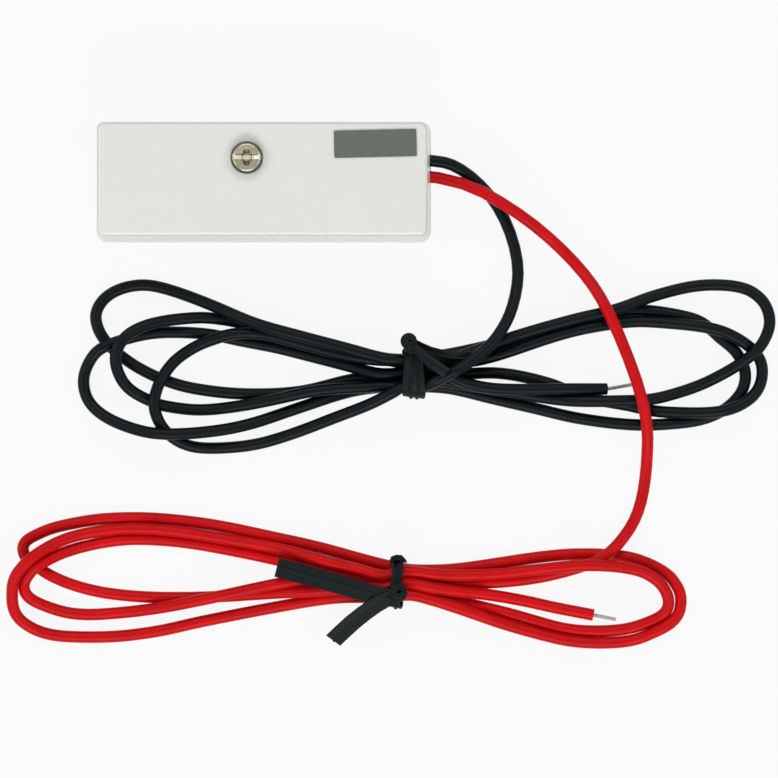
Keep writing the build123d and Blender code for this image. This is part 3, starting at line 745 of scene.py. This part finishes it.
def bare_strands(name, start, end):
    """Fine strands twisted round a straight one, from the cut insulation to the tip."""
    along = end - start
    axis = along.normalized()
    level = axis.orthogonal().normalized()
    square = axis.cross(level)
    count = max(STRAND_MARKS, round(STRAND_MARKS * along.length / LAY_LENGTH))
    curve = bpy.data.curves.new(name, "CURVE")
    curve.dimensions = "3D"
    curve.bevel_depth = STRAND / 2
    curve.bevel_resolution = STRAND_ROUNDNESS
    curve.use_fill_caps = True
    curve.materials.append(dull_tin)
    for strand in range(STRANDS + 1):
        out = STRAND if strand else 0.0
        spline = curve.splines.new("NURBS")
        spline.points.add(count)
        for number, control in enumerate(spline.points):
            share = number / count
            turn = 2 * math.pi * (strand / STRANDS + share * along.length / LAY_LENGTH)
            round_it = level * math.cos(turn) + square * math.sin(turn)
            control.co = (*(start + along * share + round_it * out), 1)
        spline.order_u = CURVE_ORDER
        spline.use_endpoint_u = True
    bare = bpy.data.objects.new(name, curve)
    bpy.context.scene.collection.objects.link(bare)
    return bare


black_bare = bare_strands("black_bare_strands", black_turns[-1], Vector(BLACK_BARE_TIP) * MM)
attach(black_bare, "root")
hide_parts("black_bare_end")


# Red lead: the same wire in red insulation. It runs out over the black lead and the black
# hank, goes in over one of its own loops and under the next, and is wound in the same way.
RED_ROUTE = [
    (20.6, 1.34, 3.6),
    (33.8, 1.7, 3.6),
    (47.6, -5.9, 5.4),
    (58.0, -15.0, 1.8),
    (63.8, -23.6, 6.9),
    (71.0, -42.0, 5.6),
    (71.1, -53.0, 1.1),
    (69.6, -61.6, 1.1),
    (65.8, -67.2, 2.6),
]
RED_TIE = (24.4, -74.2)
RED_PASSES = [
    ((0.0, LOW), (0.1, LOW)),
    ((-2.1, LOW), (-2.4, LOW)),
    ((2.15, MIDDLE), (1.2, MIDDLE)),
    ((-3.2, MIDDLE), (-2.15, MIDDLE)),
    ((2.4, LOW), (3.2, LOW)),
    ((-1.0, MIDDLE), (0.0, MIDDLE)),
]
RED_LEAD_IN = [
    (3, [(62.2, -70.1), (57.2, -71.8), (51.2, -73.3), (43.8, -74.2), (36.5, -74.4), (31.0, -74.3)]),
]
RED_LOOPS = [
    [
        (2, [(19.7, -73.9), (10.2, -71.95)]),
        (3, [
            (1.7, -69.9), (-11.5, -67.3), (-19.1, -66.4), (-26.7, -66.4), (-35.8, -68.25), (-41.8, -71.05),
            (-43.5, -72.8), (-44.4, -74.6), (-44.0, -76.4), (-42.5, -77.7), (-39.5, -79.0), (-35.8, -80.0),
            (-31.0, -80.2), (-21.0, -79.2), (-9.5, -77.0), (3.0, -74.35),
        ]),
        (1, [(7.0, -73.8), (11.5, -74.0), (16.5, -75.1)]),
    ],
    [
        (1, [
            (30.8, -76.5), (34.5, -77.4), (45.3, -80.0), (50.6, -81.5), (55.4, -82.8), (60.3, -83.3),
            (65.3, -83.15), (68.5, -82.6), (71.1, -81.7), (73.3, -80.7), (74.6, -79.5), (75.0, -78.1),
        ]),
        (5, [
            (74.75, -76.6), (73.9, -75.0), (72.5, -73.6), (69.5, -72.0), (64.2, -71.1), (58.5, -71.0),
            (50.9, -71.8), (43.8, -72.6), (35.5, -72.9), (30.8, -72.6),
        ]),
    ],
    [
        (5, [
            (18.6, -72.0), (10.2, -69.9), (3.0, -68.0), (-11.5, -65.45), (-19.1, -64.45), (-26.7, -64.35),
            (-35.8, -65.85), (-42.3, -69.15), (-45.9, -73.0), (-46.5, -76.4),
        ]),
        (2, [
            (-46.2, -79.4), (-44.6, -81.6), (-41.4, -83.4), (-37.7, -84.2), (-31.9, -84.4), (-26.4, -84.2),
            (-19.1, -83.2), (-11.5, -81.5), (3.0, -78.7), (12.2, -77.2), (18.7, -76.9),
        ]),
    ],
    [
        (2, [
            (30.8, -77.3), (35.5, -78.8), (40.1, -80.4), (43.8, -81.7), (48.5, -83.1), (55.7, -84.9),
            (60.3, -85.4), (64.9, -85.4), (68.7, -84.9), (71.8, -83.7), (75.1, -82.0), (76.8, -80.2),
            (77.3, -78.2), (77.2, -76.4), (76.5, -74.8), (74.9, -72.8), (71.2, -70.7), (66.7, -69.4),
            (58.0, -69.0), (50.9, -69.6), (40.1, -71.2), (34.5, -71.9), (29.0, -72.0),
        ]),
    ],
    [
        (1, [
            (19.7, -70.35), (10.2, -67.75), (3.0, -66.15), (-9.7, -63.55), (-21.0, -62.35), (-30.1, -62.5),
            (-35.8, -63.4), (-39.5, -64.3), (-42.3, -65.5), (-44.1, -66.6), (-44.7, -68.1),
        ]),
        (2, [
            (-43.8, -70.1), (-41.4, -71.8), (-39.5, -73.0), (-35.8, -74.6), (-30.1, -76.1), (-21.0, -77.0),
            (-9.7, -76.95), (3.0, -76.15),
        ]),
        (3, [(10.4, -75.75), (14.1, -75.4), (18.7, -75.2)]),
    ],
]
RED_TAIL = [
    (6, [(30.8, -75.1), (35.5, -75.8), (42.3, -76.6), (49.4, -77.9), (53.3, -78.8), (61.1, -80.3)]),
]

red_route = [Vector(point) * MM for point in RED_ROUTE]
red_turns = wound(RED_TIE, RED_PASSES, RED_LEAD_IN, RED_LOOPS, RED_TAIL)
red_wire = wire_curve("red_wire", red_route + red_turns, WIRE, red_insulation)
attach(red_wire, "root")
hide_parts("red_lead", "red_hank")


# Red tie: the same strip, pulled tighter and crumpled into a knob on top of the wires. Its two
# ends, stiff with the core, reach out a little above them, one along the upper wires and one
# down over the lower ones.
RED_TIE_FOLD = [
    ((23.8, -70.6, 4.6), (0.1, 0.1, 0.6)),
    ((23.9, -69.7, 4.9), (0.1, 0.2, 0.6)),
    ((25.2, -69.6, 4.9), (0.0, 0.3, 0.6)),
    ((26.0, -70.3, 4.5), (0.1, 0.1, 0.6)),
]
RED_TIE_UPPER_END = [
    ((23.4, -77.0, 6.9), (0.2, 0.9, 0.3)),
    ((19.5, -76.0, 6.7), (0.25, 0.95, 0.1)),
    ((11.0, -73.6, 6.0), (0.27, 0.96, 0.0)),
    ((2.5, -71.3, 5.5), (0.3, 0.95, 0.0)),
]
RED_TIE_LOWER_END = [
    ((24.0, -76.6, 6.5), (-0.5, 0.6, 0.5)),
    ((20.7, -78.3, 6.3), (-0.55, 0.65, 0.5)),
    ((16.6, -81.4, 5.0), (-0.6, 0.65, 0.45)),
    ((12.9, -84.9, 3.4), (-0.6, 0.65, 0.45)),
]

red_tie = strips(
    "red_twist_tie",
    tie_black,
    [
        wrap((24.5, -74.3, 2.95), half_width=4.45, half_height=2.5, lean=0.35, breadth=0.55),
        RED_TIE_FOLD,
        knob((24.9, -75.9, 6.6), radius=1.35, turns=3, breadth=0.45),
        twisted((25.0, -74.2, 5.4), (22.7, -77.2, 6.3), turns=0.75, count=6, breadth=0.7),
        twisted((25.3, -77.0, 5.2), (22.2, -76.0, 6.4), turns=-0.6, count=6, breadth=0.65),
        RED_TIE_UPPER_END,
        RED_TIE_LOWER_END,
    ],
)
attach(red_tie, "root")
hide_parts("red_tie")


# Red bare end: the same tinned copper strands, twisted together where the insulation has
# been stripped from the cut end.
RED_BARE_TIP = (65.2, -81.1, 1.2)

red_bare = bare_strands("red_bare_strands", red_turns[-1], Vector(RED_BARE_TIP) * MM)
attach(red_bare, "root")
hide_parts("red_bare_end")


# Table: a wide sheet of white paper under the sensor, lit so that it stays white, with the
# soft shadows of what lies on it.
PAPER_REACH = 1.5
PAPER_DROP = 0.1 * MM
PAPER_SHARE = 0.9

mesh = bpy.data.meshes.new("paper")
signs = [(-1, -1), (1, -1), (1, 1), (-1, 1)]
corners = [(x * PAPER_REACH, y * PAPER_REACH, -PAPER_DROP) for x, y in signs]
mesh.from_pydata(corners, [], [(0, 1, 2, 3)])
table = bpy.data.objects.new("paper", mesh)
bpy.context.scene.collection.objects.link(table)


def background(place):
    """1 where the ray shows what is behind: straight to the camera, in metal or through glass."""
    seen = place.node("ShaderNodeLightPath", {}, {}, "Is Camera Ray")
    mirrored = place.node("ShaderNodeLightPath", {}, {}, "Is Glossy Ray")
    through = place.node("ShaderNodeLightPath", {}, {}, "Is Transmission Ray")
    return seen + mirrored + through


paper, place = start_finish("white_paper")
sheet = place.node("ShaderNodeBsdfDiffuse", {}, {"Color": (0.68, 0.68, 0.68, 1)})
white = place.node("ShaderNodeEmission", {}, {"Color": (1, 1, 1, 1), "Strength": 1.0})
share = PAPER_SHARE * background(place)
surface = place.node("ShaderNodeMixShader", {}, {0: share, 1: sheet, 2: white})
place.node("ShaderNodeOutputMaterial", {}, {"Surface": surface})
mesh.materials.append(paper)


# Light: four long soft boxes round the table, turned to the middle of the layout, with the
# front one strongest, in an even pale sky.
SKY = 0.28
BOX_LENGTH = 0.9
BOX_HEIGHT = 0.35
LAMPS = [
    ("front_box", (0.02, -0.88, 0.72), 6.4),
    ("back_box", (0.02, 0.80, 0.72), 3.3),
    ("left_box", (-0.82, -0.04, 0.72), 3.1),
    ("right_box", (0.86, -0.04, 0.72), 2.2),
]
AIM = Vector((23.2, -38.4, 0.0)) * MM

for name, stand, power in LAMPS:
    box = bpy.data.lights.new(name, "AREA")
    box.shape = "RECTANGLE"
    box.size = BOX_LENGTH
    box.size_y = BOX_HEIGHT
    box.energy = power
    lamp = bpy.data.objects.new(name, box)
    lamp.location = stand
    lamp.rotation_euler = (AIM - Vector(stand)).to_track_quat("-Z", "Y").to_euler()
    lamp.visible_camera = False
    bpy.context.scene.collection.objects.link(lamp)

sky = bpy.data.worlds.new("sky")
sky.use_nodes = True
sky.node_tree.nodes.clear()
start = Shade(sky.node_tree, None)
strength = SKY + (1 - SKY) * background(start)
light = start.node("ShaderNodeBackground", {}, {"Color": (1, 1, 1, 1), "Strength": strength})
start.node("ShaderNodeOutputWorld", {}, {"Surface": light})
bpy.context.scene.world = sky
bpy.context.scene.view_settings.view_transform = "Standard"


# Camera: it stands a metre above the middle of the layout and looks straight down, through a
# long lens, so that the walls of the housing hardly show.
CAMERA_HEIGHT = 1.0
FRAME_WIDTH = 0.1444
SENSOR_WIDTH = 36.0
NEAREST = 0.01

lens = bpy.data.cameras.new("camera")
lens.sensor_width = SENSOR_WIDTH
lens.lens = SENSOR_WIDTH * CAMERA_HEIGHT / FRAME_WIDTH
lens.clip_start = NEAREST
camera = bpy.data.objects.new("camera", lens)
camera.location = AIM + Vector((0, 0, CAMERA_HEIGHT))
bpy.context.scene.collection.objects.link(camera)
bpy.context.scene.camera = camera
